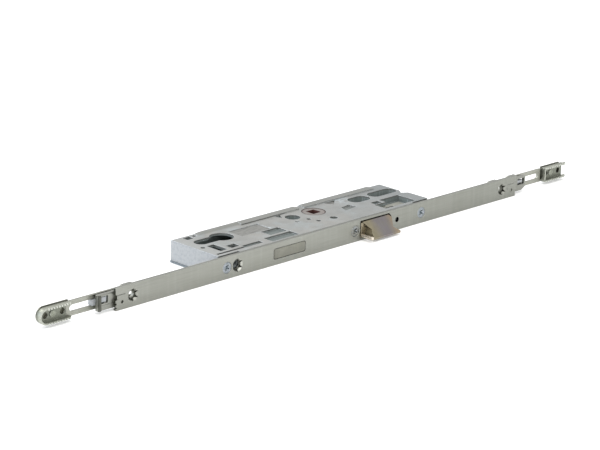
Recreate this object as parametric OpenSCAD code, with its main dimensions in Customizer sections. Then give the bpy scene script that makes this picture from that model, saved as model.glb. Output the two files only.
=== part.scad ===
// Multipoint door lock: the centre gearbox with its faceplate, latch, deadbolt, drive rods and couplings.
// It lies on its side. X runs up the door, Y into the door from the faceplate, Z through the case thickness.
// The origin is on the spindle axis, at mid thickness of the faceplate.

/* [Standard distances] */
// Distance from the faceplate front to the spindle and cylinder axes
backset = 35; // [34.8:0.1:35.4]
// Distance between the spindle axis and the profile cylinder axis
centres = 92; // [91.6:0.1:92.4]
// Side of the square spindle hole
spindle = 8; // [7:0.5:10]
// Round diameter of the profile cylinder hole
cylinder_d = 17.6; // [17.4:0.1:18.4]
// Width of the straight part of the profile cylinder hole
cylinder_slot = 10.6; // [10.4:0.1:11.2]
// Whole height of the profile cylinder hole
cylinder_h = 33.6; // [33.2:0.1:34.4]

/* [Faceplate] */
// Width of the faceplate
plate_w = 16; // [15.6:0.1:18]
// Thickness of the faceplate
plate_t = 2.5; // [2.3:0.1:2.5]
// Distance from the spindle axis to the upper end of the faceplate
plate_up = 187.5; // [186:0.5:189]
// Distance from the spindle axis to the lower end of the faceplate
plate_down = 220; // [218.5:0.5:221.5]
// Distance from the upper end of the faceplate to its door screw
fix_up_in = 16; // [15:0.5:17]
// Distance from the lower end of the faceplate to its door screw
fix_down_in = 15; // [14.5:0.5:16]
// Head diameter of a countersunk door screw
fix_head_d = 8.6; // [8.2:0.1:8.8]
// Shank hole of a door screw
fix_d = 4.8; // [4.4:0.1:5]

/* [Case] */
// Depth of the case, from the faceplate front to its back
case_d = 52; // [52:0.1:53]
// Top of the case above the middle of the faceplate
case_top = 8.4; // [8.4:0.1:8.8]
// Thickness of the zinc roof
roof_t = 2; // [1.8:0.1:2]
// Thickness of the steel cover under the case
cover_t = 1.2; // [1:0.1:1.6]
// Height of the raised rim along the back
rim_h = 0.8; // [0.4:0.1:1]
// Diameter of the handle screw hole beside the spindle
handle_hole_d = 11.4; // [10:0.2:12]

/* [Bolts] */
// Width of the deadbolt along the faceplate
bolt_w = 31; // [30.6:0.1:31]
// Thickness of the deadbolt
bolt_t = 7.2; // [6.8:0.1:7.2]
// Width of the latch head along the faceplate
latch_w = 27.3; // [26.6:0.1:27.3]
// Reach of the latch nose out of the faceplate
latch_reach = 10; // [9:0.5:10]
// Play around a bolt in its opening
bolt_play = 0.4; // [0.3:0.05:0.4]
// Diameter of the release pin beside the latch
release_d = 2.5; // [2:0.1:2.8]

/* [Drive] */
// Travel of the drive rods
stroke = 14; // [12:0.5:14]
// Width of a drive rod
rod_w = 10.4; // [10:0.1:10.4]
// Thickness of a drive rod
rod_t = 2; // [1.8:0.1:2]
// Width of the slots in the rods
slot_w = 4.6; // [4.6:0.1:5]
// Outside width of a coupling
coupling_w = 11.2; // [11.2:0.1:11.8]

/* [Hidden] */
$fn = 48;

steel = "#a3a49e";
zinc = "#b9bdbe";
screw_zinc = "#aab4c4";
chromate = "#a39a72";
brown = "#6a4f45";
gap = 0.3;
tiny = 0.01;
run = 0.05;
far = 20;

// Levels through the thickness
half_w = plate_w / 2;
roof_z = case_top - roof_t;
floor_z = -6.4;
cover_z = floor_z - cover_t;
bolt_z = [3.7 - bolt_t, 3.7];
slide_z = [4.3, 5.9];
low_gear_z = [-6.0, -3.9];
top_gear_z = [4.2, 5.9];
rim_z = case_top + rim_h;

// Case outline, measured from the spindle axis and from the faceplate front
case_lo = -centres - 32.5;
case_hi = 89.5;
wall = 1.9;
back_in = case_d - wall;
front_in = 5.8;
front_end_y = 4.1;
front_full = [-centres - 13.5, 72];
notch = [84.8, 88.3, 23, 26.5, 31];
cavity_mid = 46.6;
cavity_latch = 36.9;

// Door screws, from the spindle axis
fix_up = plate_up - fix_up_in;
fix_down = plate_down - fix_down_in;

// Ends of the faceplate: notches where the lower connector hooks in, stamped lines and riveted studs
end_notches = [[1.3, -0.7, 3], [0.9, -3.9, -2.7], [0.9, -6.6, -5.6]];
mark_w = 0.5;
mark_t = 0.35;
mark_z = 2.3;
mark_x = [-plate_down + 8.5, plate_up - 9.5];
mark_low = -1.7;
stud_x = [-plate_down + 5.5, plate_up - 4.5];
stud_z = -2.6;
stud_sunk = 0.7;
stud_d = 2.4;

// Rods and connectors behind the faceplate
rod_y = [6.5, 6.5 + rod_t];
rod_half = rod_w / 2;
rod_top = rod_half + 0.6;
slot_half = slot_w / 2;
case_slot_half = 2.8;
conn_y = [plate_t, 5];
conn_z = [-5.9, 5.2];
conn_lip = [1.5, 0.6];
conn_lines = [4.5, -2.6];
ear_half = half_w - 0.2;
ear_rise = 2.5;
ear_drop = 2;
lug_y = [rod_y[1], rod_y[1] + 1.6];
rod_rivet_d = 3;
lower_conn = [-plate_down - 13.4, -fix_down + 9];
lower_ear = [-fix_down - 7, -fix_down + 1.5];
upper_conn = [fix_up - 11.5, plate_up + 15];
upper_ears = [[upper_conn[0], fix_up - 3.5], [plate_up - 5, plate_up + 3]];
upper_corner = 4.6;
lower_slot = [-plate_down - 34, -fix_down + stroke + 3];
upper_slot = [fix_up - 3.5, plate_up + 35.5];
lower_rod_end = -centres + 12;
upper_rod_end = 61;
lap = 11;
lower_block = [-plate_down - 16, -plate_down - 6];
upper_block = [plate_up + 3, plate_up + 13];
block_half = slot_half - 0.3;
lower_window = [-plate_down - 11, -plate_down - 4.6];
upper_window = [plate_up + 5.5, plate_up + 13.5];
window_z = [-1.3, 3.7];
lower_tongue_z = [-0.3, 3.1];
upper_tongue_z = [0.2, 2];

// Couplings: a toothed channel in front of the rod's thin tongue and a backing plate behind it
lower_flange = [-plate_down - 55.1, -plate_down - 37.2];
upper_flange = [plate_up + 40.5, plate_up + 64.7];
flange_front = 2.6;
flange_t = 1.15;
web_y = [rod_y[0], rod_y[0] + 0.9];
tongue_y = [web_y[1], rod_y[1]];
tongue_half = coupling_w / 2 - 1.7;
tongue_back = 2.2;
backing_y = [rod_y[1], rod_y[1] + 1];
backing_half = coupling_w / 2 + 0.3;
serration = 2.2;
serration_h = 0.9;
flange_corner = 1.5;
flange_over = [3.5, 2.8];
link_hole_d = 4.4;
lower_spots = [0.7, 6.7, 15];
upper_spots = [4.6, 10, 19.5];

// Case screws: lower, middle and upper, and the screw that holds the profile cylinder
case_screw_x = [-centres - 27.3, 8.2, 79];
cylinder_screw_x = -centres - 17.5;
cylinder_screw_d = 5.4;
cylinder_head_d = 9.6;
star_over = 0.6;
star_w = 3;
star_t = 1.9;
screw_sunk = 0.35;
screw_d = 5;
screw_head_d = 8.7;
screw_end = 14.5;
small_hole = [52.3, 4];
// Slots of the rods behind the case screws, as long as the rods' travel asks
lower_case_slot = [case_screw_x[0] - 3.3, cylinder_screw_x + stroke + 3.2];
upper_case_slot = [case_screw_x[2] - 3.2, case_screw_x[2] + stroke + 3.7];

// Deadbolt and its gears
bolt_low = -centres + 17.5;
bolt_x = [bolt_low, bolt_low + bolt_w];
bolt_round = 1.6;
bolt_head_end = 24;
rod_teeth = 14;
bolt_teeth = 20;
key_teeth = 18;
gear_m = (centres - 2) / 90;
pitch = PI * gear_m;
rod_r = gear_m * rod_teeth / 2;
bolt_r = gear_m * bolt_teeth / 2;
key_r = gear_m * key_teeth / 2;
cam_r = 15.5;
cam_overlap = 1.8;
tip_h = 0.85 * gear_m;
root_h = 1.1 * gear_m;
tooth = 1.3 * gear_m;
flank = 20;
gear_y = 28;
key_x = -centres + cam_r + key_r + tip_h - cam_overlap - 0.7;
gear_x = key_x + sqrt(pow(bolt_r + key_r, 2) - pow(backset - gear_y, 2));
axle_d = 3.6;
shaft_d = 5.6;
rack_x = gear_x + bolt_r;
leg_x = [gear_x + shaft_d / 2 + 0.5, rack_x + root_h + 3.7];
leg_y = [25.2, back_in - 0.4];
leg_teeth = [-1, floor((leg_y[1] - gear_y - tooth / 2 - root_h * tan(flank)) / pitch - 0.5)];
slide_rack_y = gear_y - rod_r;
slide_teeth = [-3, 6];
slide_y = [12.8, 17];
slide_back = slide_y[1] + 0.4;

// Latch, follower and release pin
latch_x = [18.3, 18.3 + latch_w];
latch_top = 5.7;
latch_low = -6.2;
latch_nose = 1.2;
latch_wing = 3.2;
latch_draft = 0.68;
notch_depth = 1.7;
notch_z = 0.3;
side_gap = 0.5;
latch_shoulder = 2.2;
latch_back = 14;
latch_open = [13, latch_x[1] + 0.4];
latch_open_z = [-6.5, 6.8];
latch_corner = 2.6;
tail_x = [20.2, 29];
tail_half = 3;
arm_r = 14.2;
arm_swing = 20.5;
arm_tip = 2;
arm_half = 1.4;
journal_d = 17.3;
flange_d = 19;
lug_front = backset - arm_r * sin(arm_swing) + arm_tip + 0.25;
lug = [11.8, tail_x[0] + 1, lug_front, lug_front + 3.6];
latch_spring_x = 33.5;
release_x = [13.35, latch_x[0] - side_gap];
release_pin_x = 14.9;
release_z = -4.4;
release_reach = 11;
release_back = 12;
release_stop = [25.7, 27.2];
handle_hole_x = -21.5;
cover_screw_at = [
    [case_lo + 4.8, case_d - 4.5], [case_lo + 5.1, 19], [leg_x[1] + 5.5, case_d - 4.8],
    [42, case_d - 5.4], [84.2, case_d - 4.6], [85.6, 18.6]
];
cover_screw_d = 3;
cover_head_d = 5.4;

function edge(y) = y - backset;

// A box given by its limits, with Y measured from the faceplate front
module block(x, y, z) {
    translate([x[0], edge(y[0]), z[0]]) cube([x[1] - x[0], y[1] - y[0], z[1] - z[0]]);
}

// A round bar along Z, along Y or along X
module bar_z(x, y, d, z) {
    translate([x, edge(y), z[0]]) cylinder(h = z[1] - z[0], d = d);
}
module bar_y(x, z, d, y) {
    translate([x, edge(y[1]), z]) rotate([90, 0, 0]) cylinder(h = y[1] - y[0], d = d);
}

// A flat outline drawn in X and Y from the faceplate front, raised between two levels
module plan(points, z) {
    translate([0, edge(0), z[0]]) linear_extrude(height = z[1] - z[0]) polygon(points);
}

// A profile drawn in Y and Z, carried along X
module profile_x(points, x) {
    translate([x[0], edge(0), 0]) rotate([90, 0, 90]) linear_extrude(height = x[1] - x[0]) polygon(points);
}

// A profile drawn in X and Z, carried along Y
module profile_y(points, y) {
    translate([0, edge(y[1]), 0]) rotate([90, 0, 0]) linear_extrude(height = y[1] - y[0]) polygon(points);
}

// A slot with round ends, cut through along Y or along Z
module slot_y(x, half, y, z = 0) {
    block([x[0] + half, x[1] - half], y, [z - half, z + half]);
    for (end = [x[0] + half, x[1] - half]) bar_y(end, z, 2 * half, y);
}
module slot_z(x, y_mid, half, z) {
    block([x[0] + half, x[1] - half], [y_mid - half, y_mid + half], z);
    for (end = [x[0] + half, x[1] - half]) bar_z(end, y_mid, 2 * half, z);
}

// A bar along Y with a rounded rectangular section
module soft_bar(x, y, z, r) {
    block([x[0] + r, x[1] - r], y, z);
    block(x, y, [z[0] + r, z[1] - r]);
    for (a = [x[0] + r, x[1] - r], b = [z[0] + r, z[1] - r]) bar_y(a, b, 2 * r, y);
}

// A countersunk seat or head along Y: the cone, wide at the front
module countersink(x, z, head, shank, y0) {
    depth = (head - shank) / 2;
    translate([x, edge(y0 + depth), z]) rotate([90, 0, 0]) cylinder(h = depth, d1 = shank, d2 = head);
}

// Gear teeth as plain trapezoids on a root disc, with the first tooth at the angle phase
module gear_2d(count, phase) {
    r = gear_m * count / 2;
    low = r - root_h;
    high = r + tip_h;
    root_half = tooth / 2 + root_h * tan(flank);
    tip_half = tooth / 2 - tip_h * tan(flank);
    circle(r = low + tiny);
    for (k = [0:count - 1]) rotate(phase + k * 360 / count)
        polygon([[low - 0.5, -root_half], [low, -root_half], [r, -tooth / 2], [high, -tip_half],
                 [high, tip_half], [r, tooth / 2], [low, root_half], [low - 0.5, root_half]]);
}

// One rack tooth that points along +Y from the pitch line
module rack_tooth_2d() {
    root_half = tooth / 2 + root_h * tan(flank);
    tip_half = tooth / 2 - tip_h * tan(flank);
    polygon([[-root_half, -root_h - 0.5], [-root_half, -root_h], [-tip_half, tip_h],
             [tip_half, tip_h], [root_half, -root_h], [root_half, -root_h - 0.5]]);
}

// The profile cylinder hole: round part at the cylinder axis and a slot towards the lower end
module cylinder_hole(z) {
    low = -centres + cylinder_d / 2 - cylinder_h;
    bar_z(-centres, backset, cylinder_d, z);
    slot_z([low, -centres], backset, cylinder_slot / 2, z);
}

// Coil along Z or along any line: points on a helix, then a swept round wire
function helix(r, turns, rise, steps) = [
    for (i = [0:round(turns * steps)]) [r * cos(i * 360 / steps), r * sin(i * 360 / steps),
                                        rise * i / (turns * steps)]
];
function unit(v) = v / norm(v);
function ring(p, dir, up, r, sides) = let (a = unit(cross(dir, up)), b = unit(cross(a, dir)))
    [for (k = [0:sides - 1]) p + r * (a * cos(k * 360 / sides) + b * sin(k * 360 / sides))];
module wire(path, r, up = [0, 0, 1], sides = 8) {
    n = len(path);
    points = [for (i = [0:n - 1])
        each ring(path[i], path[min(i + 1, n - 1)] - path[max(i - 1, 0)], up, r, sides)];
    halves = [for (i = [0:n - 2], k = [0:sides - 1], half = [0, 1]) let (m = (k + 1) % sides)
        half == 0 ? [i * sides + k, i * sides + m, (i + 1) * sides + m]
                  : [i * sides + k, (i + 1) * sides + m, (i + 1) * sides + k]];
    first = [for (k = [sides - 1:-1:0]) k];
    last = [for (k = [0:sides - 1]) (n - 1) * sides + k];
    polyhedron(points, concat([first, last], halves));
}

module faceplate() {
    color(steel) difference() {
        block([-plate_down, plate_up], [0, plate_t], [-half_w, half_w]);
        for (x = case_screw_x) {
            bar_y(x, 0, screw_d + 2 * run, [-1, plate_t + 1]);
            countersink(x, 0, screw_head_d + 2 * run, screw_d + 2 * run, 0);
        }
        for (x = [-fix_down, fix_up]) star_hole(x, fix_d, fix_head_d);
        star_hole(cylinder_screw_x, cylinder_screw_d, cylinder_head_d);
        bar_y(small_hole[0], 0, small_hole[1], [-1, plate_t + 1]);
        soft_bar([bolt_x[0] - bolt_play, bolt_x[1] + bolt_play], [-1, plate_t + 1],
                 [bolt_z[0] - bolt_play, bolt_z[1] + bolt_play], bolt_round + 0.2);
        latch_opening([-1, plate_t + 1]);
        for (n = end_notches) block([-plate_down - 1, -plate_down + n[0]], [-1, plate_t + 1], [n[1], n[2]]);
        // Stamped lines at both ends
        block([-plate_down - 1, mark_x[0]], [-1, mark_t], [mark_z, mark_z + mark_w]);
        block([mark_x[1], plate_up + 1], [-1, mark_t], [mark_z, mark_z + mark_w]);
        block([mark_x[1], mark_x[1] + mark_w], [-1, mark_t], [mark_low, mark_z + mark_w]);
        for (x = stud_x) bar_y(x, stud_z, stud_d, [-1, plate_t + 1]);
    }
}

// A countersunk hole whose cone has six notches around it
module star_hole(x, d, head) {
    bar_y(x, 0, d, [-1, plate_t + 1]);
    countersink(x, 0, head, d, 0);
    low = d / 2 - 1;
    for (k = [0:5]) translate([x, edge(star_t), 0]) rotate([90, 30 + 60 * k, 0])
        linear_extrude(height = star_t + 1)
            polygon([[low, -star_w / 2], [head / 2 + star_over, 0], [low, star_w / 2]]);
}

// The latch opening through the faceplate and the case, with its upper corner cut off
module latch_opening(y) {
    profile_y([[latch_open[0], latch_open_z[0]], [latch_open[1], latch_open_z[0]],
               [latch_open[1], latch_open_z[1] - latch_corner],
               [latch_open[1] - latch_corner, latch_open_z[1]], [latch_open[0], latch_open_z[1]]], y);
}

// Outline of the case in plan
function case_plan(low = case_lo) = [
    [low, front_end_y], [front_full[0], front_end_y], [front_full[0], plate_t],
    [front_full[1], plate_t], [front_full[1], front_end_y], [case_hi, front_end_y],
    [case_hi, notch[2]], [notch[0], notch[3]], [notch[1], notch[4]], [notch[1], case_d],
    [low, case_d]
];

// Windows cut through the roof and shallow pockets in it, each a rectangle in plan.
// Those at the lower end lie by the cylinder.
cyl = -centres;
roof_windows = [
    [cyl - 23.4, cyl - 17.2, 44.8, 50], [cyl - 15.2, cyl - 12.2, 47.2, 50],
    [cyl - 22.8, cyl - 16.2, 11.6, 26], [cyl - 12.2, cyl - 4.2, 11.8, 18],
    [cyl - 30, cyl + 13.4, 6.6, 8.9], [47.8, 55.6, 18.2, 23.4]
];
roof_pockets = [
    [cyl - 3.4, cyl + 13.4, 8.8, 11], [cyl + 28.6, cyl + 45.6, 15, 25.2], [cyl + 19.6, cyl + 46, 3.6, 13]
];
panel = [[cyl + 11.4, cyl + 40.2], [26, 40.6]];
pocket_z = 7;
rim_x = [cyl - 12, 77.5];
rim_y = 45.6;
rim_soft = [cyl + 29.5, 4];
edge_cut = 0.4;
cover_over = 0.6;

module case_housing() {
    color(zinc) difference() {
        union() {
            difference() {
                union() {
                    plan(case_plan(), [floor_z, case_top]);
                    profile_y([[rim_x[0], case_top - tiny], [rim_x[0] + 6, rim_z],
                               [rim_x[1] - 3.5, rim_z], [rim_x[1], case_top - tiny]], [rim_y, case_d]);
                }
                block([case_lo + wall, cavity_latch], [front_in, back_in], [floor_z - 1, roof_z]);
                block([cavity_latch - 1, cavity_mid], [front_in, 27.2], [floor_z - 1, roof_z]);
                // Rod channel and slide channel in the upper end
                block([cavity_mid - 1, case_hi + 1], [front_in, rod_y[1] + gap], [floor_z - 1, rod_top]);
                block([cavity_mid - 1, 73], [front_in, lug_y[1] + 0.8], [floor_z - 1, roof_z]);
                block([cavity_mid - 1, 73], [front_in, slide_back], [slide_z[0] - 0.4, roof_z]);
                // Hollow under the large window
                block([48.5, 71], [19, 27.4], [floor_z - 1, 1.4]);
                block([60.5, 79], [27.2, 27.4], [floor_z - 1, 1.4]);
            }
            block([case_lo + 1, cyl - 22.4], [9.2, 16.5], [floor_z, roof_z + 1]);
            block([3.8, 12.5], [front_in - 1, 12.4], [floor_z, roof_z + 1]);
            block([12.8, 18.3], release_stop, [-5, roof_z + 1]);
            bar_z(handle_hole_x, backset, handle_hole_d + 3, [floor_z, roof_z + 1]);
            for (p = cover_screw_at) bar_z(p[0], p[1], 6.2, [floor_z, roof_z + 1]);
        }
        // Rod opening in the lower end wall
        block([case_lo - 1, case_lo + 3], [rod_y[0] - gap, rod_y[1] + gap],
              [-rod_half - gap, rod_half + gap]);
        // Openings in the front wall
        soft_bar([bolt_x[0] - bolt_play, bolt_x[1] + bolt_play], [0, front_in + 0.5],
                 [bolt_z[0] - bolt_play, bolt_z[1] + bolt_play], bolt_round + 0.2);
        block([bolt_x[1] - 1, leg_x[1] + 0.6], [3.5, front_in + 1], [floor_z - 1, bolt_z[1] + bolt_play]);
        latch_opening([0, front_in + 1]);
        block(latch_open, [0, front_in + 1], [floor_z - 1, latch_open_z[0] + 1]);
        for (x = case_screw_x) bar_y(x, 0, screw_d + 2 * run, [0, screw_end + 1]);
        bar_y(cylinder_screw_x, 0, cylinder_screw_d, [0, front_in + 1]);
        bar_y(small_hole[0], 0, small_hole[1], [0, front_in + 1]);
        // Holes through the case
        cylinder_hole([floor_z - 1, case_top + 1]);
        bar_z(0, backset, journal_d + 2 * run, [roof_z - 1, case_top + 1]);
        bar_z(handle_hole_x, backset, handle_hole_d, [floor_z - 1, rim_z + 1]);
        slot_z([38.6, 58], backset + 0.3, 5.9, [floor_z - 1, case_top + 1]);
        slot_z([60.2, 87.2], backset + 0.8, 5.6, [floor_z - 1, case_top + 1]);
        // Roof windows and marks
        for (w = roof_windows) block([w[0], w[1]], [w[2], w[3]], [roof_z - 0.5, rim_z + 1]);
        for (w = roof_pockets) block([w[0], w[1]], [w[2], w[3]], [pocket_z, rim_z + 1]);
        plan([[46.2, 5.8], [78.4, 5.8], [78.4, 24], [58, 24], [58, slide_back], [46.2, slide_back]],
             [3.6, case_top + 1]);
        slot_z([case_lo + 3.5, case_lo + 7.3], 25, 1.7, [roof_z - 0.5, case_top + 1]);
        bar_z(-15.6, 24.4, 3.4, [roof_z - 0.5, case_top + 1]);
        bar_z(0.8, 15.2, 6, [roof_z - 0.5, case_top + 1]);
        bar_z(-13, 17, 3.6, [roof_z - 0.5, case_top + 1]);
        bar_z(-26.4, 25.4, 3.4, [case_top - 0.6, case_top + 1]);
        block(panel[0], panel[1], [case_top - 0.5, case_top + 1]);
        plan([[-31, 45.4], [-24.6, 45.4], [-28.6, 38.4]], [case_top - 1.2, case_top + 1]);
        plan([[20.4, 45], [32.4, 45], [24.2, 37.4]], [case_top - 0.9, case_top + 1]);
        plan([[22.8, 28.9], [31.8, 30.2], [33.4, 23.2], [19.8, 21.2]], [case_top - 1.1, case_top + 1]);
        block([-4.2, 1.4], [rim_y - 0.6, case_d + 1], [case_top, rim_z + 1]);
        block([rim_soft[0], -19], [rim_y - 0.6, rim_y], [case_top - 0.5, case_top + 1]);
        // The rim rises gently at its lower end, and the front edge of the roof is chamfered
        profile_x([[rim_y - 1, case_top], [rim_y, case_top], [rim_y + rim_soft[1], rim_z],
                   [rim_y + rim_soft[1], rim_z + 1], [rim_y - 1, rim_z + 1]], [rim_x[0] - 1, rim_soft[0]]);
        profile_x([[plate_t - 1, case_top - edge_cut - 1], [plate_t + edge_cut + 1, case_top + 1],
                   [plate_t - 1, case_top + 1]], front_full);
        // Axle seats and cover screw holes
        for (p = [[gear_x, gear_y], [key_x, backset]])
            bar_z(p[0], p[1], axle_d + 2 * run, [roof_z - 1, roof_z + 1.2]);
        for (p = cover_screw_at) bar_z(p[0], p[1], cover_screw_d + 2 * run, [floor_z - 1, 2.2]);
    }
}

module cover_plate() {
    color(zinc) difference() {
        plan(case_plan(case_lo - cover_over), [cover_z, floor_z]);
        cylinder_hole([cover_z - 1, floor_z + 1]);
        bar_z(0, backset, journal_d + 2 * run, [cover_z - 1, floor_z + 1]);
        bar_z(handle_hole_x, backset, handle_hole_d, [cover_z - 1, floor_z + 1]);
        slot_z([38.6, 58], backset + 0.3, 5.9, [cover_z - 1, floor_z + 1]);
        slot_z([60.2, 87.2], backset + 0.8, 5.6, [cover_z - 1, floor_z + 1]);
        for (p = [[gear_x, gear_y], [key_x, backset]])
            bar_z(p[0], p[1], axle_d + 2 * run, [cover_z - 1, floor_z + 1]);
        for (p = cover_screw_at) {
            bar_z(p[0], p[1], cover_screw_d + 2 * run, [cover_z - 1, floor_z + 1]);
            translate([p[0], edge(p[1]), cover_z - tiny])
                cylinder(h = 1.2, d1 = cover_head_d + 0.1, d2 = cover_head_d - 2.3);
        }
    }
}

// Countersunk machine screws with a cross recess, from the faceplate into the case
module case_screws() {
    color(screw_zinc) for (x = case_screw_x) difference() {
        union() {
            countersink(x, 0, screw_head_d - 2 * screw_sunk, screw_d, screw_sunk);
            bar_y(x, 0, screw_d, [(screw_head_d - screw_d) / 2 - tiny, screw_end]);
        }
        for (turn = [35, 125])
            translate([x, edge(screw_sunk), 0]) rotate([0, turn, 0]) cube([4.6, 3, 1], center = true);
        countersink(x, 0, 3.4, 0.6, screw_sunk - tiny);
    }
}

module cover_screws() {
    color(screw_zinc) for (p = cover_screw_at) difference() {
        union() {
            translate([p[0], edge(p[1]), cover_z])
                cylinder(h = 1.2, d1 = cover_head_d, d2 = cover_head_d - 2.4);
            bar_z(p[0], p[1], cover_screw_d, [cover_z + 1, 2]);
        }
        for (turn = [20, 110])
            translate([p[0], edge(p[1]), cover_z]) rotate(turn) cube([3, 0.7, 1.2], center = true);
    }
}

// Plates that carry on from the ends of the faceplate, a little narrower, with a window for the guide block
module ear(x, low, high) {
    profile_y([[x[0] - ear_rise, low + ear_rise], [x[0], low],
               [x[1], low], [x[1] + ear_rise, low + ear_rise],
               [x[1] + ear_rise, high - ear_rise], [x[1], high],
               [x[0], high], [x[0] - ear_rise, high - ear_rise]], conn_y);
}
// The lower connector's end, bent forward, with round corners
module soft_lip(x) {
    r = 1;
    block([x, x + conn_lip[0]], [conn_lip[1], conn_y[1]], [conn_z[0] + r, conn_z[1] - r]);
    block([x, x + conn_lip[0]], [conn_lip[1] + r, conn_y[1]], conn_z);
    for (z = [conn_z[0] + r, conn_z[1] - r])
        translate([x, edge(conn_lip[1] + r), z]) rotate([0, 90, 0]) cylinder(h = conn_lip[0], r = r);
}
module lower_connector() {
    color(steel) difference() {
        union() {
            block(lower_conn, conn_y, conn_z);
            soft_lip(lower_conn[0]);
            ear(lower_ear, -ear_half, ear_half);
        }
        bar_y(-fix_down, 0, fix_d + 0.6, [0, far]);
        block(lower_window, [0, far], window_z);
        bar_y(stud_x[0], stud_z, stud_d, [0, far]);
        for (z = conn_lines)
            block([lower_conn[0] + 2, -plate_down + 1], [0, conn_y[0] + mark_t], [z, z + mark_w]);
    }
}
module upper_connector() {
    color(steel) difference() {
        union() {
            profile_y([[upper_conn[0], conn_z[0]], [upper_conn[1] - upper_corner, conn_z[0]],
                       [upper_conn[1], conn_z[0] + upper_corner / 2], [upper_conn[1], conn_z[1]],
                       [upper_conn[0], conn_z[1]]], conn_y);
            ear(upper_ears[0], -ear_half, ear_half);
            ear(upper_ears[1], -ear_half + ear_drop, ear_half);
        }
        bar_y(fix_up, 0, fix_d + 0.6, [0, far]);
        block(upper_window, [0, far], window_z);
        bar_y(stud_x[1], stud_z, stud_d, [0, far]);
    }
}

// Zinc blocks that stand through the rod slots and keep the rods in line, with a tongue in the window
module guide_block(x, window, z, front) {
    block(x, [conn_y[1], rod_y[1] + 0.8], [-block_half, block_half]);
    block([window[0] + run, window[1] - 1.3], [front, conn_y[1] + 0.1], z);
}
module lower_guide_block() {
    color(zinc) guide_block(lower_block, lower_window, lower_tongue_z, conn_y[0] + 0.4);
}
module upper_guide_block() {
    color(zinc) guide_block(upper_block, upper_window, upper_tongue_z, conn_y[0] + 0.8);
}

module connector_rivets() {
    color(steel) for (x = stud_x) bar_y(x, stud_z, stud_d, [stud_sunk, conn_y[1]]);
}

// Drive rods: flat strips behind the faceplate, slotted for the screws and the guide blocks,
// each with a thin tongue for its coupling
module lower_drive_rod() {
    color(steel) difference() {
        union() {
            block([lower_flange[1] + gap, lower_rod_end], rod_y, [-rod_half, rod_half]);
            block([lower_flange[0] + 1, lower_flange[1] + 2], tongue_y, [-tongue_half, tongue_half]);
        }
        slot_y(lower_slot, slot_half, [0, far]);
        slot_y(lower_case_slot, case_slot_half, [0, far]);
        coupling_holes(lower_flange[0], lower_spots);
        for (x = lower_lap_x()) bar_y(x, 0, rod_rivet_d, [0, far]);
    }
}
module upper_drive_rod() {
    color(steel) difference() {
        union() {
            block([upper_rod_end, upper_flange[0] - tongue_back], rod_y, [-rod_half, rod_half]);
            block([upper_flange[0] - tongue_back - 1, upper_flange[1] - 1.5], tongue_y,
                  [-tongue_half, tongue_half]);
        }
        slot_y(upper_slot, slot_half, [0, far]);
        slot_y(upper_case_slot, case_slot_half, [0, far]);
        coupling_holes(upper_flange[0], upper_spots);
        for (x = upper_lap_x()) bar_y(x, 0, rod_rivet_d, [0, far]);
    }
}
function lower_lap_x() = [lower_rod_end - lap + 3, lower_rod_end - 3];
function upper_lap_x() = [upper_rod_end + 3, upper_rod_end + lap - 3];

// The slide joins both rods over the bolts and carries the rack that the upper gear drives
module drive_slide() {
    rack = [gear_x + slide_teeth[0] * pitch - 1.1, gear_x + (slide_teeth[1] + 1) * pitch + 1.5];
    laps = [[lower_rod_end - lap, lower_rod_end], [upper_rod_end, upper_rod_end + lap]];
    color(steel) difference() {
        union() {
            block([laps[0][0], laps[1][1]], slide_y, slide_z);
            block(rack, [slide_y[0], slide_rack_y - root_h], slide_z);
            for (end = laps) {
                block(end, [lug_y[0], slide_y[1]], slide_z);
                block(end, lug_y, [-rod_half + 0.4, slide_z[1]]);
            }
            for (k = [slide_teeth[0]:slide_teeth[1]])
                translate([gear_x + (k + 0.5) * pitch, edge(slide_rack_y), slide_z[0]])
                    linear_extrude(height = slide_z[1] - slide_z[0]) rack_tooth_2d();
        }
        for (x = concat(lower_lap_x(), upper_lap_x())) bar_y(x, 0, rod_rivet_d, [0, far]);
    }
}

// A rivet along Y with two low heads
module rivet_y(x, d, head, y, h) {
    bar_y(x, 0, d, y);
    bar_y(x, 0, head, [y[0] - h, y[0]]);
    bar_y(x, 0, head, [y[1], y[1] + h]);
}
module slide_rivets() {
    color(steel) for (x = concat(lower_lap_x(), upper_lap_x()))
        rivet_y(x, rod_rivet_d, 4.4, [rod_y[0], lug_y[1]], 0.4);
}

module coupling_rivets() {
    color(zinc) for (x = [lower_flange[0] + lower_spots[1], upper_flange[0] + upper_spots[1]])
        rivet_y(x, rod_rivet_d, 4.6, [web_y[0], backing_y[1]], 0.7);
}
module coupling_holes(x, spots) {
    for (at = [spots[0], spots[2]]) bar_y(x + at, 0, link_hole_d, [0, far]);
    bar_y(x + spots[1], 0, rod_rivet_d, [0, far]);
}

// Toothed channel: a web with a wall on three sides, which the rod of the next lock hooks into.
// Its two long walls run on past the web, in front of the rod.
module channel(x, spots, round_end, over) {
    half = coupling_w / 2;
    inside = half - flange_t;
    front = flange_front + serration_h;
    end = x[1] + over;
    difference() {
        union() {
            block(x, [front, web_y[1]], [-half, half]);
            block([x[1] - 1, x[1] + over], [front, rod_y[0] - gap], [-half, half]);
            if (round_end) bar_y(x[0], 0, coupling_w, [front, web_y[1]]);
        }
        block([x[0] + (round_end ? 0 : flange_t), x[1] + over + 1], [0, web_y[0]], [-inside, inside]);
        if (round_end) bar_y(x[0], 0, 2 * inside, [0, web_y[0]]);
        coupling_holes(x[0], spots);
        plan([[end + 1, front - 1], [end - flange_corner, front - 1], [end - flange_corner, front],
              [end, front + flange_corner], [end + 1, front + flange_corner]], [-half - 1, half + 1]);
    }
    for (t = [x[0] + 0.6:serration:end - flange_corner - serration / 2],
         z = [[-half, -inside], [inside, half]])
        block([t, t + serration / 2], [flange_front, front + tiny], z);
}
module lower_coupling() {
    color(zinc) channel(lower_flange, lower_spots, true, flange_over[0]);
}
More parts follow.
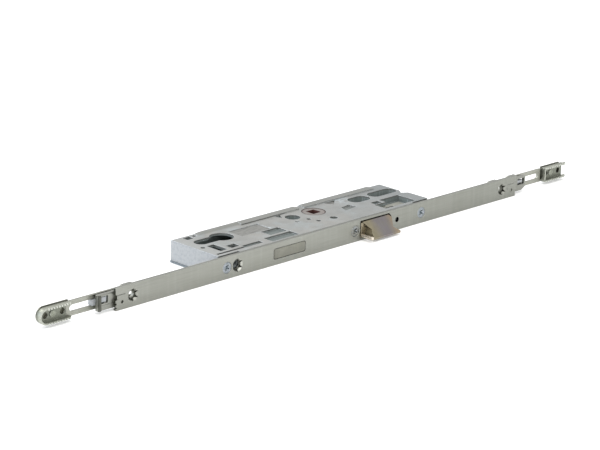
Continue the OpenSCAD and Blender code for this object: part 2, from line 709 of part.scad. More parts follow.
module upper_coupling() {
    color(zinc) channel(upper_flange, upper_spots, false, flange_over[1]);
}

// Backing plates behind the tongues, which close the link holes at the back
module lower_backing_plate() {
    color(steel) difference() {
        union() {
            block([lower_flange[0] + 1, lower_flange[1] + flange_over[0]], backing_y,
                  [-backing_half, backing_half]);
            bar_y(lower_flange[0] + 1, 0, 2 * backing_half, backing_y);
        }
        bar_y(lower_flange[0] + lower_spots[1], 0, rod_rivet_d, [0, far]);
    }
}
module upper_backing_plate() {
    color(steel) difference() {
        block([upper_flange[0] + 0.5, upper_flange[1] - 1], backing_y,
              [-backing_half, backing_half]);
        bar_y(upper_flange[0] + upper_spots[1], 0, rod_rivet_d, [0, far]);
    }
}

// Deadbolt: a flat head, and a leg beside the gear shaft with a rack under it
module deadbolt() {
    color(steel) {
        soft_bar(bolt_x, [0.1, bolt_head_end], bolt_z, bolt_round);
        block([leg_x[0], bolt_x[1]], [bolt_head_end - 0.3, leg_y[1]], [bolt_z[0], 1]);
        block([bolt_x[1] - 1, leg_x[1]], leg_y, [bolt_z[0], 1]);
        block([rack_x + root_h, leg_x[1]], leg_y, [low_gear_z[0], bolt_z[0] + tiny]);
        for (k = [leg_teeth[0]:leg_teeth[1]])
            translate([rack_x, edge(gear_y + (k + 0.5) * pitch), low_gear_z[0]]) rotate(90)
                linear_extrude(height = bolt_z[0] + tiny - low_gear_z[0]) rack_tooth_2d();
    }
}

// Double gear: the lower gear throws the deadbolt, the upper one moves the slide
module drive_gear() {
    color(steel) translate([gear_x, edge(gear_y), 0]) difference() {
        union() {
            translate([0, 0, low_gear_z[0]]) linear_extrude(height = low_gear_z[1] - low_gear_z[0])
                gear_2d(bolt_teeth, 0);
            translate([0, 0, low_gear_z[1] - tiny])
                cylinder(h = top_gear_z[0] - low_gear_z[1] + 2 * tiny, d = shaft_d);
            translate([0, 0, top_gear_z[0]]) linear_extrude(height = top_gear_z[1] - top_gear_z[0])
                gear_2d(rod_teeth, -90);
        }
        translate([0, 0, low_gear_z[0] - 1]) cylinder(h = 14, d = axle_d + 2 * run);
    }
}

// Wheel beside the cylinder, turned by the cylinder's cam, in mesh with the lower gear
module key_wheel() {
    line = atan2(backset - gear_y, key_x - gear_x);
    lead = line - round(line / (360 / bolt_teeth)) * 360 / bolt_teeth;
    color(steel) translate([key_x, 0, 0]) difference() {
        translate([0, 0, low_gear_z[0]]) linear_extrude(height = 11)
            gear_2d(key_teeth, line + 180 + lead * bolt_teeth / key_teeth + 180 / key_teeth);
        translate([0, 0, low_gear_z[0] - 1]) cylinder(h = 13, d = axle_d + 2 * run);
    }
}
module drive_gear_axle() {
    color(zinc) bar_z(gear_x, gear_y, axle_d, [cover_z, roof_z + 1.1]);
}
module key_wheel_axle() {
    color(zinc) bar_z(key_x, backset, axle_d, [cover_z, roof_z + 1.1]);
}

// Latch: a bevelled head with its nose at the lower side, a flat body and a tail with the follower's lug.
// From the front its lower side is notched for the release block, and its upper side tapers to the nose.
function latch_face() = [
    [latch_x[0], latch_low], [latch_x[1], latch_low], [latch_x[1], latch_top - latch_corner],
    [latch_x[1] - latch_corner, latch_top], [latch_x[0] - latch_wing, latch_top],
    [latch_x[0] + notch_depth, notch_z], [latch_x[0], notch_z - 2.9]
];
module latch_bolt() {
    nose_top = latch_low + latch_nose;
    drawn_in = latch_x[1] - latch_draft * latch_reach;
    color(chromate) {
        difference() {
            intersection() {
                union() {
                    profile_x([[-latch_reach, latch_low], [latch_shoulder, latch_low],
                               [latch_shoulder, latch_top], [0, latch_top], [-latch_reach, nose_top]],
                              latch_open);
                    block(latch_x, [latch_shoulder - 0.5, latch_back], [-5.9, 3.9]);
                }
                profile_y(latch_face(), [-latch_reach - 1, latch_back]);
            }
            intersection() {
                plan([[latch_x[1] + 1, 1], [latch_x[1], 0], [drawn_in, -latch_reach],
                      [latch_x[1] + 1, -latch_reach]], [latch_low, latch_top + 1]);
                profile_y([[drawn_in, 0], [latch_x[1], nose_top + 0.5], [latch_x[1] + 1, nose_top],
                           [latch_x[1] + 1, latch_top + 1], [drawn_in, latch_top + 1]],
                          [-latch_reach - 1, 1]);
            }
        }
        block(tail_x, [latch_back - 1, lug[3]], [-tail_half, tail_half]);
        block([lug[0], lug[1]], [lug[2], lug[3]], [-tail_half, tail_half]);
        bar_y(latch_spring_x, 0, 3, [latch_back - 1, latch_back + 8]);
    }
}
module latch_spring() {
    color(steel) translate([latch_spring_x, edge(latch_back + 0.5), 0]) rotate([-90, 0, 0])
        wire(helix(2.4, 11, back_in - latch_back - 1, 12), 0.4, sides = 6);
}

// Follower: the hub with the square spindle hole and the arm that draws the latch back
module follower() {
    arm_z = -tail_half + gap;
    color(brown) difference() {
        union() {
            translate([0, 0, cover_z + 0.1]) cylinder(h = case_top - cover_z - 0.2, d = journal_d);
            translate([0, 0, arm_z - gap]) cylinder(h = roof_z - 0.2 - arm_z + gap, d = flange_d);
            rotate(-arm_swing) {
                translate([arm_r, 0, arm_z]) cylinder(h = -2 * arm_z, r = arm_tip);
                translate([0, -arm_half, arm_z]) cube([arm_r, 2 * arm_half, -2 * arm_z]);
            }
        }
        translate([-spindle / 2 - 0.05, -spindle / 2 - 0.05, cover_z - 1])
            cube([spindle + 0.1, spindle + 0.1, 20]);
    }
}
module follower_spring() {
    r = journal_d / 2 + 0.7;
    leg = back_in - backset - 6.1;
    color(steel) translate([0, 0, floor_z + 0.8]) rotate(150)
        wire(concat([[r, -leg, 0], [r, -leg / 2, 0]], helix(r, 2.1, 2, 24),
                    [[r * cos(36) - 5, r * sin(36) + 6, 2]]), 0.4);
}

// Spring-loaded release pin beside the latch, on a block that fits the latch's notch
module release_pin() {
    top = latch_top - 0.4;
    low = latch_low + 0.3;
    wing = (top - notch_z) * (latch_wing + notch_depth) / (latch_top - notch_z);
    tip = release_x[1] + notch_depth - 0.1;
    color(chromate) intersection() {
        union() {
            block([release_x[0], latch_x[1]], [-0.6, latch_shoulder], [low, top]);
            block([release_x[0], latch_x[1]], [latch_shoulder - 0.5, release_back], [low, 3.9]);
        }
        profile_y([[release_x[0], low], [release_x[1], low], [release_x[1], notch_z - 2.9],
                   [tip, notch_z], [tip - wing, top], [release_x[0], top]], [-1, release_back + 1]);
    }
    color(chromate) bar_y(release_pin_x, release_z, release_d, [-release_reach, 0]);
}
module release_spring() {
    mid = (release_x[0] + release_x[1]) / 2;
    color(steel) translate([mid, edge(release_back + 0.35), -1]) rotate([-90, 0, 0])
        wire(helix(1.5, 5, release_stop[0] - release_back - 0.7, 12), 0.3, sides = 6);
}

faceplate();
case_housing();
cover_plate();
case_screws();
cover_screws();
lower_connector();
upper_connector();
lower_guide_block();
upper_guide_block();
connector_rivets();
lower_drive_rod();
upper_drive_rod();
drive_slide();
slide_rivets();
lower_coupling();
upper_coupling();
lower_backing_plate();
upper_backing_plate();
coupling_rivets();
deadbolt();
drive_gear();
drive_gear_axle();
key_wheel();
key_wheel_axle();
latch_bolt();
latch_spring();
follower();
follower_spring();
release_pin();
release_spring();
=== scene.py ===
import math

import bmesh
import bpy
from mathutils import Matrix, Vector


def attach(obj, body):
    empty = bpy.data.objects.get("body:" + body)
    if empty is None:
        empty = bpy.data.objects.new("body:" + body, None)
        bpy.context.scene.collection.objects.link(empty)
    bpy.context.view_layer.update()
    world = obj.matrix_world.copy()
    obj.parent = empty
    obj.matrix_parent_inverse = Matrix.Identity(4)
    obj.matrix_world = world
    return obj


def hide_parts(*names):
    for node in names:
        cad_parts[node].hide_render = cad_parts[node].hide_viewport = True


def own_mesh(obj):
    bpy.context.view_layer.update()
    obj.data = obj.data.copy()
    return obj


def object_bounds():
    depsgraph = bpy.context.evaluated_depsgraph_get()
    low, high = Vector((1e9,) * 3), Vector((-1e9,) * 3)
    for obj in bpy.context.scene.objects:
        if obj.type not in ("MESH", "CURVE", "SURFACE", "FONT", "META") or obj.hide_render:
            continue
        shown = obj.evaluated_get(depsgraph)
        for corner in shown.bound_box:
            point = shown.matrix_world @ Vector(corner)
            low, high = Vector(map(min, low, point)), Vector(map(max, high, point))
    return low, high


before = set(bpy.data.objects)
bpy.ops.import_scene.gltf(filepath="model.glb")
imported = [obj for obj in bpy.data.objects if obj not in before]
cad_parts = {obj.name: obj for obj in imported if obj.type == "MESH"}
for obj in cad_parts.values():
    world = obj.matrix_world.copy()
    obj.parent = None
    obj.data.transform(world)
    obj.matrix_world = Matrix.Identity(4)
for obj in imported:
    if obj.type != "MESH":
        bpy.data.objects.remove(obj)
cad_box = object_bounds()

MM = 0.001

# Camera: viewing angle and roll in degrees, place in metres, lens and sensor in millimetres, fitted
# to the outlines of the lock
AZIMUTH = 45.627
ELEVATION = 17.403
ROLL = 1.541
CAMERA_AT = (-1.17426, -1.13548, 0.50981)
LENS = 140.78
SENSOR = 36.0
CLIP_NEAR, CLIP_FAR = 0.05, 20

# Floor: half its side, its gap below the lock, and the glow that keeps shadows light
FLOOR_HALF = 4.0
FLOOR_GAP = 0.02 * MM
FLOOR_GLOW = 0.23

# Springs: the distance at which points are one
WELD = 0.0001 * MM

# Faces of the lock in millimetres: the strip's along Y, the case's ends along X, its back along Y
# and its top along Z, and the hub's top
STRIP_FRONT, STRIP_BACK = -35, -32.5
CASE_LOWER_END, CASE_UPPER_END = -124.5, 89.5
CASE_BACK = 17
CASE_TOP = 8.4
HUB_TOP = 8.3

# Places along X in millimetres: the middle of the strip, the notched screw holes with the tone of
# the painted highlight on their rims, the small hole beside the latch and the screw on the latch's
# other side
STRIP_MIDDLE = -34
NOTCHED_HOLES = {-205: "#9c9d95", -109.5: "#b9bab2", 171.5: "#9c9d95"}
SMALL_HOLE = 52.3
LATCH_SCREW = 8.2

# The axes that count for a round place, from the front and from above, or for a stretch of one axis
FROM_FRONT, FROM_ABOVE = (1, 0, 1), (1, 1, 0)
ALONG_X, ALONG_Z = (1, 0, 0), (0, 0, 1)
CENTRE = (0, 0, 0)

# An edge's lean against its flat face, as the cosine where the edge tint starts and where it is
# full; the tint is wear on some materials and a painted highlight on others
EDGE_TINT_STARTS, EDGE_TINT_FULL = 0.995, 0.85

# The marks of rolling, grinding, drawing and casting are finer on the real lock than the 0.3 to
# 0.9 mm of the materials below, which draw them as coarse as they need to show.


def linear(code):
    """An sRGB hex value as the linear, opaque colour that shaders work in."""
    parts = [int(code[i:i + 2], 16) / 255 for i in (1, 3, 5)]
    return [p / 12.92 if p <= 0.04045 else ((p + 0.055) / 1.055) ** 2.4 for p in parts] + [1.0]


def add(tree, kind, settings=None, links=None):
    """Adds a node to a tree. A setting is a socket's value or a property of the node; a link leads
    an output to a socket. Sockets go by name, or by number where names repeat."""
    made = tree.nodes.new(kind)
    for name, value in (settings or {}).items():
        if isinstance(name, int) or name in made.inputs:
            made.inputs[name].default_value = value
        else:
            setattr(made, name, value)
    for name, source in (links or {}).items():
        tree.links.new(source, made.inputs[name])
    return made


class Finish:
    """A material under way: its tree, its shader and the object's own coordinates."""

    def __init__(self, name, settings):
        self.material = bpy.data.materials.new(name)
        self.material.use_nodes = True
        self.tree = self.material.node_tree
        self.tree.nodes.clear()
        self.shader = add(self.tree, "ShaderNodeBsdfPrincipled", settings)
        add(self.tree, "ShaderNodeOutputMaterial", links={"Surface": self.shader.outputs["BSDF"]})
        self.place = add(self.tree, "ShaderNodeTexCoord").outputs["Object"]
        self.axes = add(self.tree, "ShaderNodeSeparateXYZ", links={"Vector": self.place})
        self.normal = None

    def along(self, axis, start_mm, end_mm, most=1.0):
        """A share that rises along an axis between two places of the lock."""
        return add(self.tree, "ShaderNodeMapRange",
                   {"From Min": start_mm * MM, "From Max": end_mm * MM, "To Max": most},
                   {"Value": self.axes.outputs[axis]}).outputs["Result"]

    def around(self, flat, at_mm, radius_mm, soft_mm=0.2):
        """A share near a place, as far as the radius: flat holds 1 for the axes that count and 0
        for the rest."""
        level = add(self.tree, "ShaderNodeVectorMath", {"operation": "MULTIPLY", 1: flat},
                    {0: self.place}).outputs["Vector"]
        far = add(self.tree, "ShaderNodeVectorMath",
                  {"operation": "DISTANCE", 1: [a * MM for a in at_mm]},
                  {0: level}).outputs["Value"]
        return add(self.tree, "ShaderNodeMapRange",
                   {"From Min": (radius_mm + soft_mm) * MM, "From Max": radius_mm * MM},
                   {"Value": far}).outputs["Result"]

    def upright(self):
        """A share on the faces that stand upright."""
        rise = add(self.tree, "ShaderNodeSeparateXYZ", links={
            "Vector": add(self.tree, "ShaderNodeNewGeometry").outputs["Normal"]}).outputs["Z"]
        return add(self.tree, "ShaderNodeMapRange", {"From Min": 0.75, "From Max": 0.45},
                   {"Value": rise}).outputs["Result"]

    def clouds(self, size_mm, low=0.3, high=0.7, stretch=(1, 1, 1), detail=3.0, most=1.0,
               shift=0.0):
        """A share in soft spots about size_mm across, drawn out along an axis where stretch is
        below 1."""
        drawn = add(self.tree, "ShaderNodeMapping",
                    {"Scale": stretch, "Location": (shift, shift, shift)}, {"Vector": self.place})
        spots = add(self.tree, "ShaderNodeTexNoise",
                    {"Scale": 1 / (size_mm * MM), "Detail": detail, "Roughness": 0.6},
                    {"Vector": drawn.outputs["Vector"]})
        return add(self.tree, "ShaderNodeMapRange",
                   {"From Min": low, "From Max": high, "To Max": most},
                   {"Value": spots.outputs["Fac"]}).outputs["Result"]

    def colour(self, base, *layers):
        """Lays colours over a base, each by the product of its shares, and leads the result to the
        shader."""
        for over, *shares in layers:
            share = shares[0]
            for other in shares[1:]:
                share = add(self.tree, "ShaderNodeMath", {"operation": "MULTIPLY"},
                            {0: share, 1: other}).outputs["Value"]
            settings, links = {"data_type": "RGBA", 7: linear(over)}, {0: share}
            if isinstance(base, str):
                settings[6] = linear(base)
            else:
                links[6] = base
            base = add(self.tree, "ShaderNodeMix", settings, links).outputs[2]
        self.tree.links.new(base, self.shader.inputs["Base Color"])

    def edges(self, radius_mm, most):
        """Rounds the edges by radius_mm for the light, and gives the share of an edge, which some
        materials tint as wear and others as a painted highlight.
        """
        self.normal = add(self.tree, "ShaderNodeBevel",
                          {"samples": 4, "Radius": radius_mm * MM}).outputs["Normal"]
        flat = add(self.tree, "ShaderNodeNewGeometry").outputs["Normal"]
        lean = add(self.tree, "ShaderNodeVectorMath", {"operation": "DOT_PRODUCT"},
                   {0: self.normal, 1: flat})
        return add(self.tree, "ShaderNodeMapRange",
                   {"From Min": EDGE_TINT_STARTS, "From Max": EDGE_TINT_FULL, "To Max": most},
                   {"Value": lean.outputs["Value"]}).outputs["Result"]

    def relief(self, height, depth_um):
        """Raises the surface by a height's pattern."""
        bump = add(self.tree, "ShaderNodeBump", {"Strength": 1.0, "Distance": depth_um * MM * MM},
                   {"Height": height})
        if self.normal:
            self.tree.links.new(self.normal, bump.inputs["Normal"])
        self.tree.links.new(bump.outputs["Normal"], self.shader.inputs["Normal"])

    def lead(self, socket, share, low, high):
        """Leads a share to one of the shader's values, between low and high."""
        value = add(self.tree, "ShaderNodeMapRange", {"To Min": low, "To Max": high},
                    {"Value": share})
        self.tree.links.new(value.outputs["Result"], self.shader.inputs[socket])


def rolled_nickel_steel():
    """Nickel-plated strip: warm grey and satin, with rolling lines along the strip, faint bands
    across it, a lighter edge where the plating wears, painted shade on the walls of the
    openings, a painted highlight on the upper side of the notched screw holes, and painted
    shadow inside the small hole."""
    steel = Finish("rolled_nickel_steel", {"Metallic": 1.0})
    edge_tint = steel.edges(0.35, 0.6)
    lines = steel.clouds(0.7, 0.35, 0.7, (0.02, 1, 1))
    sunk = steel.along("Y", STRIP_FRONT + 0.03, STRIP_FRONT + 0.15)
    painted_shade_in_openings = (steel.along("Y", STRIP_FRONT + 0.15, STRIP_FRONT + 0.55, 0.85),
                   steel.along("Y", STRIP_BACK - 0.1, STRIP_BACK - 0.3),
                   steel.around(ALONG_X, (STRIP_MIDDLE, 0, 0), 210),
                   steel.around(ALONG_Z, CENTRE, 7.4))
    # Painted highlight on the upper side of each notched hole's walls, within 1 mm of the front
    rims = [(tone, sunk, steel.along("Y", STRIP_FRONT + 1.3, STRIP_FRONT + 1),
             steel.along("X", x - 1, x + 1), steel.around(FROM_FRONT, (x, 0, 0), 5.8))
            for x, tone in NOTCHED_HOLES.items()]
    steel.colour("#91928b",
                 ("#8a8b83", steel.clouds(34, 0.35, 0.65, (0.4, 1, 1), most=0.7)),
                 ("#83857e", steel.along("X", -60, 70, 0.4)),
                 ("#9d9e97", steel.clouds(5, 0.45, 0.75, (1, 0.02, 0.02), most=0.35)),
                 ("#7e7f78", lines, steel.clouds(20, 0.3, 0.8, most=0.5)),
                 ("#ced0c9", edge_tint),
                 # Painted shade on the walls of the openings, inside the strip's thickness
                 ("#4a4b44", *painted_shade_in_openings),
                 *rims,
                 # Painted shadow: near black inside the small hole
                 ("#0c0d0c", sunk, steel.around(FROM_FRONT, (SMALL_HOLE, 0, 0), 2.3)))
    steel.lead("Roughness", lines, 0.34, 0.46)
    steel.relief(lines, 3)
    return steel.material


def zinc_die_casting():
    """Zinc die casting: warm grey, clouded by the flow of the metal in cool and dark patches, with
    a sandy matt skin, small dark pits, painted highlights on the edges, ends and back painted
    lighter and cooler as light, and a dark line round the hub. Below the top it is painted darker
    and greener as the shade of its recesses and openings, where it also shines less like metal;
    their upright walls take less of this painted shade and carry pale streaks, and the painted
    shade deepens further down."""
    zinc = Finish("zinc_die_casting", {})
    edge_tint = zinc.edges(0.5, 0.6)
    inner = zinc.along("Z", CASE_TOP - 0.9, CASE_TOP - 1.25)
    grain = zinc.clouds(0.6, 0.25, 0.75, detail=4)
    wall = zinc.upright()
    streaks = zinc.clouds(1.6, 0.5, 0.75, (1, 1, 0.06), most=0.65)
    recess = zinc.along("Z", CASE_TOP - 0.1, CASE_TOP - 0.4)
    lower_end = zinc.along("X", CASE_LOWER_END + 1, CASE_LOWER_END + 0.2)
    side = "#a0a3a5"
    zinc.colour("#9b9a96",
                ("#8b8b87", zinc.clouds(11, 0.4, 0.6, (0.5, 1, 1), most=0.9)),
                ("#a3abad", zinc.clouds(16, 0.5, 0.68, shift=0.3, most=0.7)),
                ("#a19c93", zinc.clouds(22, 0.52, 0.7, shift=0.7, most=0.6)),
                ("#aaaba9", zinc.along("X", -104, -122, 0.8)),
                ("#83888a", zinc.along("X", -10, 70, 0.6)),
                ("#7d8283", zinc.along("X", 68, 76, 0.8)),
                ("#b9c3c7", zinc.around(FROM_ABOVE, (36, 6, 0), 3, 7), zinc.clouds(4, 0.4, 0.6)),
                ("#b3b6b5", zinc.clouds(0.9, 0.3, 0.42, most=0.3)),
                ("#6f7373", zinc.clouds(0.8, 0.62, 0.72, shift=0.5, most=0.5)),
                ("#878883", zinc.along("Z", CASE_TOP + 0.1, CASE_TOP + 0.3, 0.7)),
                # Painted shade: darker and greener below the top face, in the recesses and
                # openings; the upright walls take less of it
                ("#8f8f8b", recess),
                ("#7c7c79", recess, zinc.clouds(1.6, 0.45, 0.65, (0.25, 1, 1))),
                ("#6b7270", inner),
                ("#838b89", inner, wall),
                ("#b1bbbd", inner, wall, streaks),
                # Painted shade that deepens further down inside the case
                ("#6d7472", zinc.along("Z", 5.5, 1.5, 0.7)),
                # Painted light: the ends and the back lighter and cooler than the top
                (side, lower_end),
                (side, zinc.along("X", CASE_UPPER_END - 0.7, CASE_UPPER_END - 0.2)),
                (side, zinc.along("Y", CASE_BACK - 0.6, CASE_BACK - 0.2)),
                ("#92979a", lower_end, zinc.clouds(1.8, 0.45, 0.68, detail=4)),
                # Painted highlight along the edges
                ("#cdd3d5", edge_tint),
                ("#5b5553", zinc.around(FROM_ABOVE, CENTRE, 9.1, 0.1)))
    zinc.lead("Metallic", inner, 0.8, 0.35)
    zinc.lead("Roughness", grain, 0.42, 0.62)
    zinc.relief(grain, 14)
    return zinc.material


def slate_cover_sheet():
    """Zinc-plated sheet under the case: slate grey, darker above a thin band along its bottom."""
    sheet = Finish("slate_cover_sheet", {"Metallic": 1.0})
    edge_tint = sheet.edges(0.15, 0.35)
    lines = sheet.clouds(0.5, 0.35, 0.7, (0.04, 1, 1))
    sheet.colour("#8c9499",
                 ("#7f888e", sheet.clouds(12, 0.35, 0.65)),
                 ("#6f777c", sheet.along("Z", -7.5, -7.3)),
                 ("#a6adb0", sheet.clouds(3, 0.55, 0.7, most=0.4)),
                 ("#b4bbc0", edge_tint))
    sheet.lead("Roughness", lines, 0.34, 0.5)
    sheet.relief(lines, 3)
    return sheet.material


def blue_zinc_screw():
    """Blue-passivated zinc on steel screws: pale and cool, with a painted highlight on the rim,
    grey in the cross, and duller on the screw beside the latch."""
    screw = Finish("blue_zinc_screw", {"Metallic": 0.9})
    edge_tint = screw.edges(0.35, 0.9)
    spangle = screw.clouds(0.8, 0.35, 0.65)
    screw.colour("#8f9598",
                 ("#7d8488", spangle),
                 ("#a6a7b2", screw.clouds(2.4, 0.5, 0.7, shift=0.4, most=0.6)),
                 ("#8d989e", screw.along("Y", STRIP_FRONT + 0.6, STRIP_FRONT + 0.9)),
                 # Painted highlight on the rim
                 ("#ced8dc", edge_tint),
                 ("#90918b", screw.around(ALONG_X, (LATCH_SCREW, 0, 0), 6),
                  screw.clouds(0.9, 0.3, 0.6)))
    screw.lead("Roughness", spangle, 0.28, 0.42)
    screw.relief(spangle, 4)
    return screw.material


def passivated_coupling():
    """Cast and passivated zinc couplings: matt olive grey, painted darker in the channel as its
    shade, with painted highlights on the teeth and edges."""
    zinc = Finish("passivated_coupling", {"Metallic": 0.85})
    edge_tint = zinc.edges(0.3, 0.75)
    grain = zinc.clouds(0.5, 0.3, 0.7, detail=4)
    zinc.colour("#a3a599",
                ("#92958a", zinc.clouds(4, 0.4, 0.65)),
                ("#77796d", zinc.clouds(1.2, 0.55, 0.7, shift=0.2, most=0.5)),
                # Painted shade on the floor of the channel
                ("#7d8075", zinc.along("Y", -29.4, -28.6)),
                # Painted highlights on the teeth at the front of the flanges and along the edges
                ("#cfd1c9", zinc.along("Y", -31.3, -31.9, 0.7)),
                ("#d8dad2", edge_tint))
    zinc.lead("Roughness", grain, 0.4, 0.58)
    zinc.relief(grain, 10)
    return zinc.material


def bright_rivet_zinc():
    """Clinched rivets of the couplings: as dull as the channel, with painted glints on their
    rims."""
    zinc = Finish("bright_rivet_zinc", {"Metallic": 1.0})
    edge_tint = zinc.edges(0.5, 0.8)
    rings = zinc.clouds(0.6, 0.35, 0.7)
    zinc.colour("#8b8e82",
                ("#7b7e72", rings),
                ("#6a6d61", zinc.clouds(1.5, 0.5, 0.7, most=0.5)),
                # Painted glints on the rims
                ("#dfe1da", edge_tint))
    zinc.lead("Roughness", rings, 0.22, 0.38)
    zinc.relief(rings, 6)
    return zinc.material


def shade_dark_backing_steel():
    """Backing plates of the couplings: black-olive in patches, painted dark as the shade
    behind the couplings.
    """
    steel = Finish("shade_dark_backing_steel", {"Metallic": 0.8})
    edge_tint = steel.edges(0.2, 0.4)
    film = steel.clouds(3, 0.35, 0.7)
    # Painted shade: the plates are made dark for the shadow behind the couplings
    steel.colour("#7b7c70",
                 ("#69695e", film),
                 ("#8e8f83", steel.clouds(0.7, 0.55, 0.7, most=0.4)),
                 ("#a4a59a", edge_tint))
    steel.lead("Roughness", film, 0.32, 0.5)
    steel.relief(film, 4)
    return steel.material


def drive_rod_steel():
    """Zinc-plated punched rods: even grey with rolling lines, dulled with grease beside the case,
    and painted dark as shade where the rod steps down behind the upper coupling."""
    steel = Finish("drive_rod_steel", {"Metallic": 1.0})
    edge_tint = steel.edges(0.3, 0.6)
    lines = steel.clouds(0.6, 0.35, 0.7, (0.04, 1, 1))
    steel.colour("#a3a49b",
                 ("#93948a", steel.clouds(8, 0.35, 0.65, (0.5, 1, 1))),
                 ("#a39d96", steel.clouds(3, 0.55, 0.75, shift=0.6, most=0.4)),
                 ("#7f8076", lines, steel.clouds(9, 0.4, 0.7, most=0.6)),
                 # Painted shade in the gap where the rod steps down behind the upper coupling
                 ("#4a4b42", steel.along("X", 225.6, 225.9), steel.along("Y", -28.4, -27.9)),
                 ("#c9cac0", edge_tint))
    steel.lead("Roughness", lines, 0.36, 0.5)
    steel.relief(lines, 4)
    return steel.material


def ground_deadbolt_steel():
    """Ground steel bolt: a shade darker and warmer than the faceplate, ground across its front, and
    with a painted shadow along its lower end."""
    steel = Finish("ground_deadbolt_steel", {"Metallic": 1.0})
    edge_tint = steel.edges(0.3, 0.5)
    lines = steel.clouds(0.5, 0.35, 0.7, (1, 1, 0.05))
    steel.colour("#838379",
                 ("#797971", steel.clouds(7, 0.35, 0.65)),
                 # Painted shadow along the bolt's lower end
                 ("#5c5c54", steel.along("X", -73.0, -74.2, 0.8)),
                 ("#747469", lines, steel.clouds(6, 0.3, 0.7, most=0.5)),
                 ("#adada3", edge_tint))
    steel.lead("Roughness", lines, 0.34, 0.48)
    steel.relief(lines, 3)
    return steel.material


def olive_chromate():
    """Yellow chromate on the zinc latch: olive gold that turns purple-grey across the middle of the
    bevel, where the film is thickest, and rosy towards the upper side."""
    film = Finish("olive_chromate", {"Metallic": 0.6})
    edge_tint = film.edges(0.4, 0.6)
    lines = film.clouds(0.5, 0.35, 0.7, (1, 0.06, 0.06))
    left, right = film.along("X", 21.5, 29.5), film.along("X", 43.5, 35.5)
    film.colour("#8b836d",
                ("#7d7763", film.clouds(5, 0.35, 0.7, most=0.6)),
                ("#93826e", film.along("X", 36.0, 42.0, 0.8)),
                ("#797575", left, right),
                ("#767075", left, right, film.clouds(6, 0.4, 0.7, shift=0.2)),
                ("#6d6958", lines, film.clouds(4, 0.3, 0.7, most=0.5)),
                ("#c4bb9f", edge_tint))
    film.lead("Roughness", lines, 0.3, 0.46)
    film.relief(lines, 4)
    return film.material


def polished_gold_pin():
    """The release pin and its block: turned and chromated, bright gold-silver along the pin."""
    film = Finish("polished_gold_pin", {"Metallic": 0.75})
    edge_tint = film.edges(0.3, 0.6)
    rings = film.clouds(0.4, 0.35, 0.7, (0.1, 1, 0.1))
    film.colour("#8f866f",
                ("#847b66", film.clouds(3, 0.35, 0.7)),
                ("#d1c8ba", film.along("Y", STRIP_FRONT - 0.75, STRIP_FRONT - 1.1)),
                ("#7a6b5c", rings, film.clouds(2, 0.3, 0.7, most=0.4)),
                ("#e8dfcd", edge_tint))
    film.lead("Roughness", rings, 0.2, 0.36)
    film.relief(rings, 3)
    return film.material


def sintered_hub():
    """Sintered steel hub: its ground face grey with a hint of pink, the rest brown with an
    anti-rust film, nearly maroon in the square hole."""
    hub = Finish("sintered_hub", {"Metallic": 0.7})
    edge_tint = hub.edges(0.25, 0.4)
    pores = hub.clouds(0.5, 0.35, 0.7, detail=4)
    face = hub.along("Z", HUB_TOP - 0.15, HUB_TOP - 0.05)
    ring = hub.around(FROM_ABOVE, CENTRE, 7.9, 0.3)
    hub.colour("#7d5c56",
               ("#684a45", hub.clouds(3, 0.35, 0.7, most=0.7)),
               ("#4d3c37", face),
               ("#8f8984", face, ring),
               ("#7f7672", face, ring, hub.clouds(3, 0.4, 0.7)),
               ("#5f4740", hub.clouds(0.7, 0.6, 0.72, most=0.4)),
               ("#5d4640", edge_tint))
    hub.lead("Roughness", pores, 0.36, 0.54)
    hub.relief(pores, 8)
    return hub.material


def oiled_gear_steel():
    """Stamped gears: darker than the case, with oil in the teeth."""
    steel = Finish("oiled_gear_steel", {"Metallic": 1.0})
    edge_tint = steel.edges(0.2, 0.6)
    film = steel.clouds(0.6, 0.3, 0.7)
    steel.colour("#83857f",
                 ("#6c6e69", steel.clouds(4, 0.35, 0.7)),
                 ("#777973", film),
                 ("#aeb0aa", edge_tint))
    steel.lead("Roughness", film, 0.32, 0.48)
    steel.relief(film, 4)
    return steel.material


def drawn_spring_wire():
    """Drawn spring wire: dark grey, with fine drawing marks."""
    wire = Finish("drawn_spring_wire", {"Metallic": 1.0})
    marks = wire.clouds(0.3, 0.3, 0.7)
    wire.colour("#7c7d7b",
                ("#626361", wire.clouds(2, 0.35, 0.7)),
                ("#8b8c8a", marks))
    wire.lead("Roughness", marks, 0.25, 0.4)
    wire.relief(marks, 2)
    return wire.material


def white_board():
    """Pale matt board under the lock, lit faintly from within so that shadows stay light."""
    board = Finish("white_board", {"Roughness": 0.9, "Specular IOR Level": 0.1,
                                   "Emission Color": linear("#ffffff"),
                                   "Emission Strength": FLOOR_GLOW})
    board.colour("#f7f7f7", ("#f4f4f4", board.clouds(40, 0.3, 0.7)))
    return board.material


def paint_nodes():
    """Gives every CAD node its material."""
    finishes = {
        rolled_nickel_steel(): ["faceplate", "lower_connector", "upper_connector",
                                "connector_rivets"],
        zinc_die_casting(): ["case_housing", "lower_guide_block", "upper_guide_block"],
        slate_cover_sheet(): ["cover_plate", "drive_gear_axle", "key_wheel_axle"],
        blue_zinc_screw(): ["case_screws", "cover_screws"],
        passivated_coupling(): ["lower_coupling", "upper_coupling"],
        bright_rivet_zinc(): ["coupling_rivets"],
        shade_dark_backing_steel(): ["lower_backing_plate", "upper_backing_plate"],
        drive_rod_steel(): ["lower_drive_rod", "upper_drive_rod", "drive_slide", "slide_rivets"],
        ground_deadbolt_steel(): ["deadbolt"],
        olive_chromate(): ["latch_bolt"],
        polished_gold_pin(): ["release_pin"],
        sintered_hub(): ["follower"],
        oiled_gear_steel(): ["drive_gear", "key_wheel"],
        drawn_spring_wire(): ["latch_spring", "follower_spring", "release_spring"],
    }
    for material, names in finishes.items():
        for name in names:
            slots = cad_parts[name].data.materials
            slots.clear()
            slots.append(material)


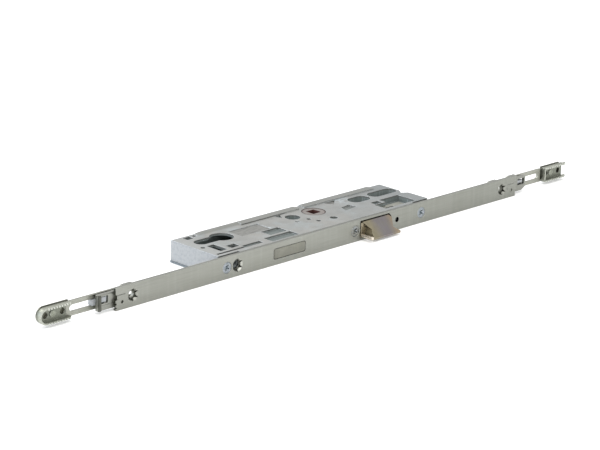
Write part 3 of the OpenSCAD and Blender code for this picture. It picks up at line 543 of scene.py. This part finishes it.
def shorten_springs():
    """Puts a merged copy in the place of each spring behind a sliding bolt, fixed to the lock case,
    and hides the spring."""
    for node, joint in (("latch_spring", "latch_slide"), ("release_spring", "release_slide")):
        form = bmesh.new()
        form.from_mesh(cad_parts[node].data)
        bmesh.ops.remove_doubles(form, verts=form.verts, dist=WELD)
        mesh = bpy.data.meshes.new(node + "_coil")
        form.to_mesh(mesh)
        form.free()
        mesh.materials.append(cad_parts[node].data.materials[0])
        coil = bpy.data.objects.new(node + "_coil", mesh)
        bpy.context.scene.collection.objects.link(coil)
        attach(coil, "lock_case")
        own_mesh(coil)
        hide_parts(node)


def lay_floor():
    """A plain pale floor that the lock lies on."""
    form = bmesh.new()
    bmesh.ops.create_grid(form, x_segments=1, y_segments=1, size=FLOOR_HALF)
    bmesh.ops.translate(form, verts=form.verts, vec=(0, 0, cad_box[0].z - FLOOR_GAP))
    mesh = bpy.data.meshes.new("studio_floor")
    form.to_mesh(mesh)
    form.free()
    mesh.materials.append(white_board())
    floor = bpy.data.objects.new("studio_floor", mesh)
    bpy.context.scene.collection.objects.link(floor)


def soft_light(name, at, size, watts, colour="#ffffff"):
    """A large soft area light that faces the lock."""
    lamp = bpy.data.lights.new(name, "AREA")
    lamp.shape = "SQUARE"
    lamp.size = size
    lamp.energy = watts
    lamp.color = linear(colour)[:3]
    light = bpy.data.objects.new(name, lamp)
    light.location = at
    light.rotation_euler = (-Vector(at)).to_track_quat("-Z", "Y").to_euler()
    bpy.context.scene.collection.objects.link(light)


def light_studio():
    """White surroundings with three softboxes: overhead, at the lower end, and behind for the
    bright walls of the openings."""
    world = bpy.data.worlds.new("studio")
    bpy.context.scene.world = world
    world.use_nodes = True
    tree = world.node_tree
    tree.nodes.clear()
    sky = add(tree, "ShaderNodeBackground", {"Color": linear("#ffffff"), "Strength": 1.0})
    add(tree, "ShaderNodeOutputWorld", links={"Surface": sky.outputs["Background"]})
    soft_light("softbox_high", at=(-0.5, -0.6, 1.6), size=1.6, watts=14)
    soft_light("softbox_end", at=(-1.6, 0.9, 0.7), size=1.0, watts=10, colour="#dfeaff")
    soft_light("softbox_back", at=(-0.45, 1.1, 1.1), size=0.8, watts=8)
    bpy.context.scene.view_settings.view_transform = "Standard"


def place_camera():
    """The camera at the photograph's viewing angle."""
    azimuth, elevation, roll = (math.radians(a) for a in (AZIMUTH, ELEVATION, ROLL))
    back = Vector((-math.sin(azimuth) * math.cos(elevation),
                   -math.cos(azimuth) * math.cos(elevation), math.sin(elevation)))
    level = Vector((0, 0, 1)).cross(back).normalized()
    rise = back.cross(level)
    right = math.cos(roll) * level + math.sin(roll) * rise
    up = back.cross(right)
    turn = Matrix((right, up, back)).transposed()
    lens = bpy.data.cameras.new("photo_camera")
    lens.sensor_fit = "HORIZONTAL"
    lens.sensor_width = SENSOR
    lens.lens = LENS
    lens.clip_start = CLIP_NEAR
    lens.clip_end = CLIP_FAR
    camera = bpy.data.objects.new("photo_camera", lens)
    camera.matrix_world = Matrix.Translation(CAMERA_AT) @ turn.to_4x4()
    bpy.context.scene.collection.objects.link(camera)
    bpy.context.scene.camera = camera


paint_nodes()
shorten_springs()
lay_floor()
light_studio()
place_camera()
